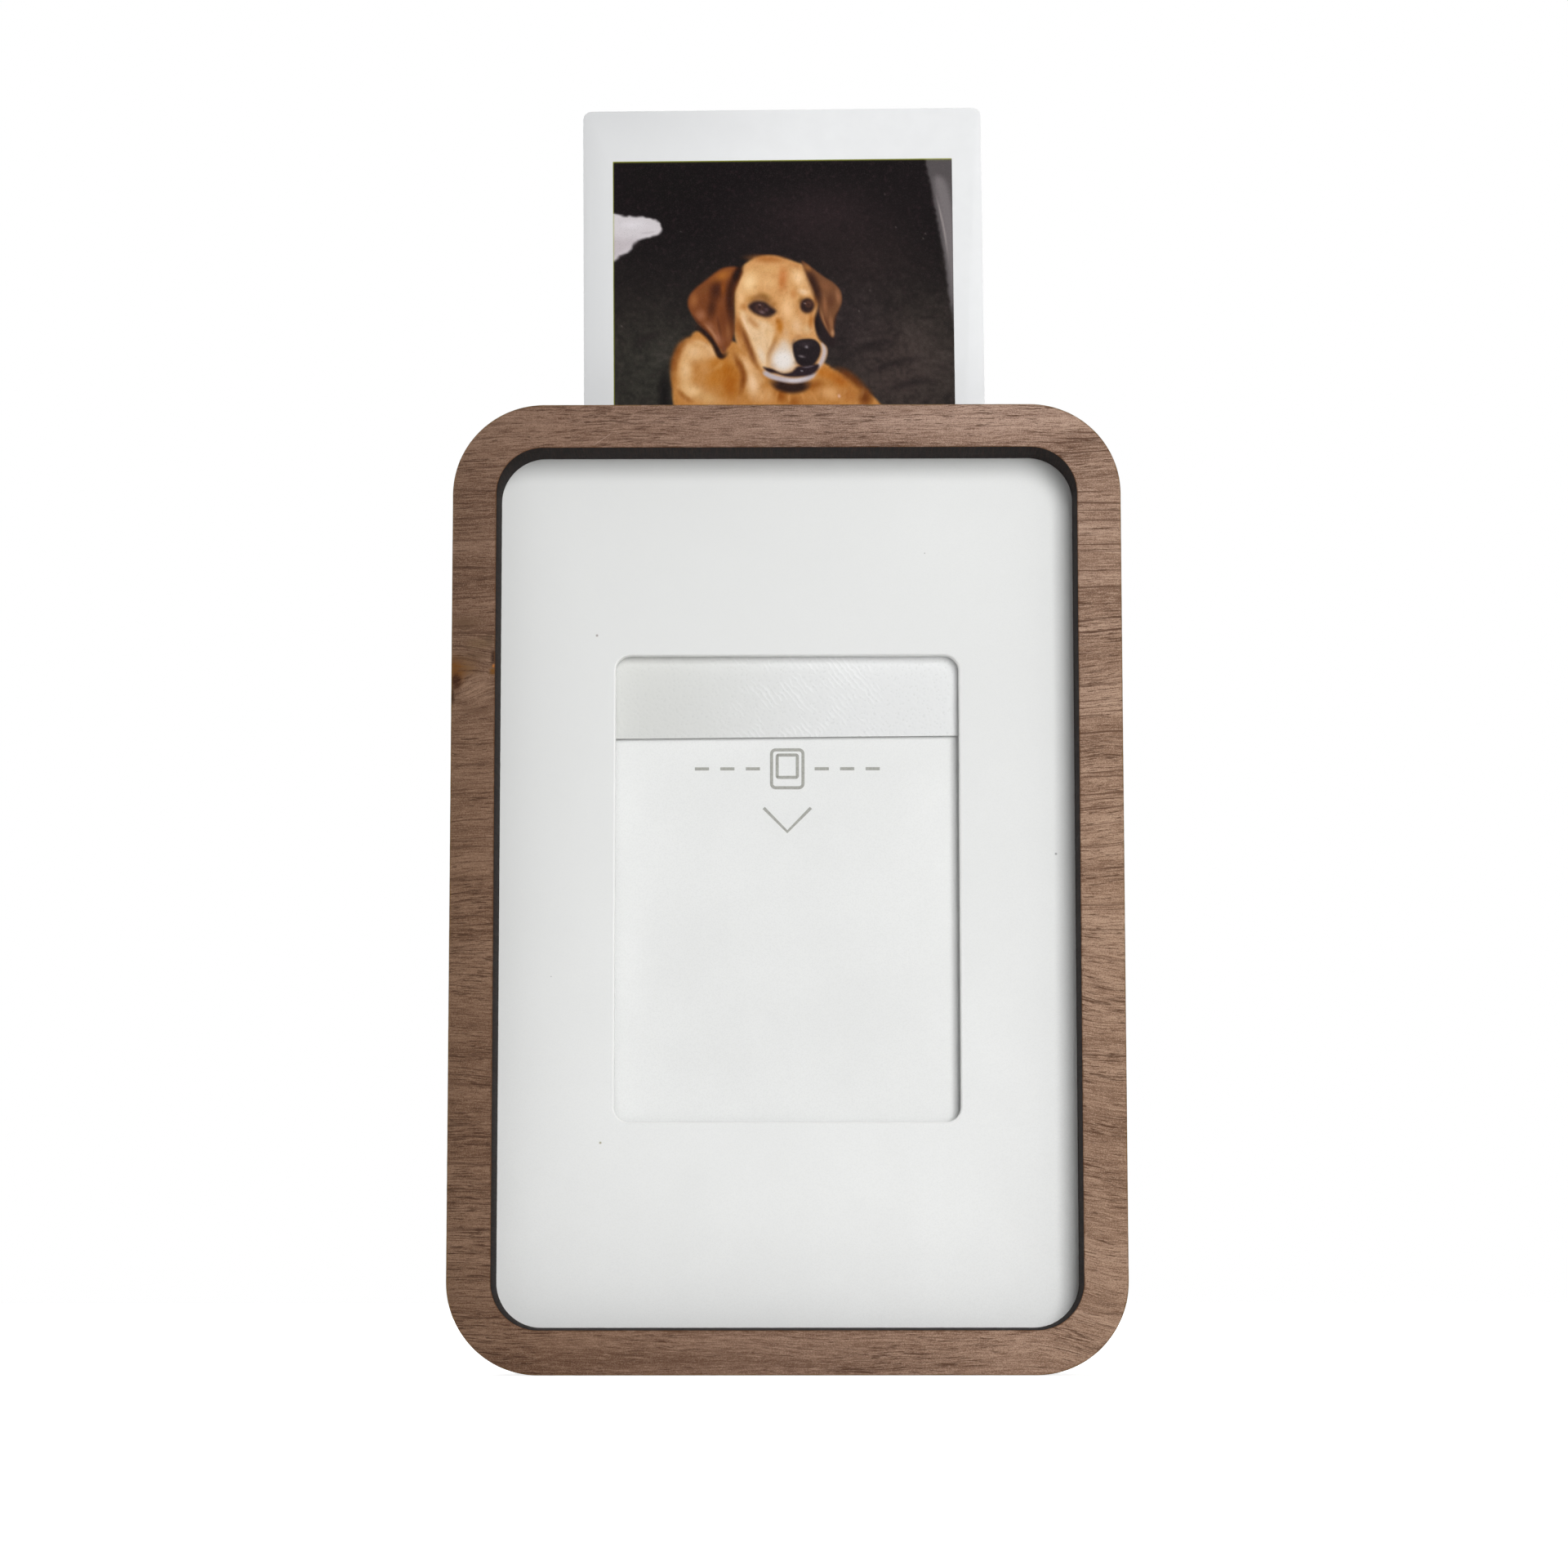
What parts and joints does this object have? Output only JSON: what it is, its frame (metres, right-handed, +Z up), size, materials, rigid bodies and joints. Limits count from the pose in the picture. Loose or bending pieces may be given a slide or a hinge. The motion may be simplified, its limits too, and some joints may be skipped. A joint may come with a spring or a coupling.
{
  "type": "pop-up photo frame",
  "caption": "Small portrait photo frame with a walnut ring, a white box and a windowed front, whose sprung lift raises an instant print out of a slot in the top.",
  "frame": {"origin": "centre of the overall box at the base, on the surface that the frame stands on", "axes": "+Z up along the height, front faces -Y, +X to the right seen from the front"},
  "size_m": [0.0884, 0.0258, 0.1704],
  "materials": {
    "walnut": "sanded walnut with laser-cut edges",
    "tape": "thin double-sided tape",
    "white_shell": "matte white",
    "white_chassis": "matte white, with printed grey guide marks",
    "white_cover": "finely textured white",
    "grey_carrier": "smooth light grey",
    "white_button": "satin white",
    "screw_steel": "zinc-plated",
    "rod_steel": "ground bright",
    "spring_steel": "bright wire",
    "washer_rubber": "matte black",
    "print_border": "satin white film",
    "print_picture": "glossy picture film",
    "print_back": "satin black film"
  },
  "bodies": {
    "housing": {"front_ring": "walnut", "ring_tape": "tape", "front_shell": "white_shell", "lift_chassis": "white_chassis", "chassis_screws": "screw_steel", "guide_rod_left": "rod_steel", "guide_rod_right": "rod_steel", "lift_spring_left": "spring_steel", "lift_spring_right": "spring_steel", "stop_washers": "washer_rubber", "rear_cover": "white_cover", "cover_screws": "screw_steel", "latch_pin": "rod_steel", "latch_spring": "spring_steel"},
    "carrier": {"lift_carrier": "grey_carrier", "thumb_tab": "white_button", "tab_screw": "screw_steel"},
    "print": {"print_back_sheet": "print_back", "print_border": "print_border", "print_picture": "print_picture"},
    "latch": {"latch_lever": "grey_carrier"},
    "button": {"release_button": "white_button"}
  },
  "joints": [
    {"name": "lift_slide", "type": "slide", "parent": "housing", "child": "carrier", "axis": [0, 0, 1], "range_m": [-0.0683, 0], "stiffness_N_per_m": 13, "springref_m": 0.015, "deforming": ["lift_spring_left", "lift_spring_right"]},
    {"name": "print_slide", "type": "slide", "parent": "carrier", "child": "print", "axis": [0, 0, 1], "range_m": [0, 0.05]},
    {"name": "latch_turn", "type": "hinge", "parent": "housing", "child": "latch", "pos_m": [0.014, 0.00445, 0.03599], "axis": [1, 0, 0], "range_deg": [0, 5.93], "stiffness_Nm_per_rad": 0.3, "springref_deg": -1.15, "deforming": ["latch_spring"]},
    {"name": "button_push", "type": "slide", "parent": "housing", "child": "button", "axis": [0, -1, 0], "range_m": [0, 0.0013]}
  ],
  "couplings": [
    {"joint": "button_push", "follows": "latch_turn", "m_per_rad": 0.0125}
  ]
}
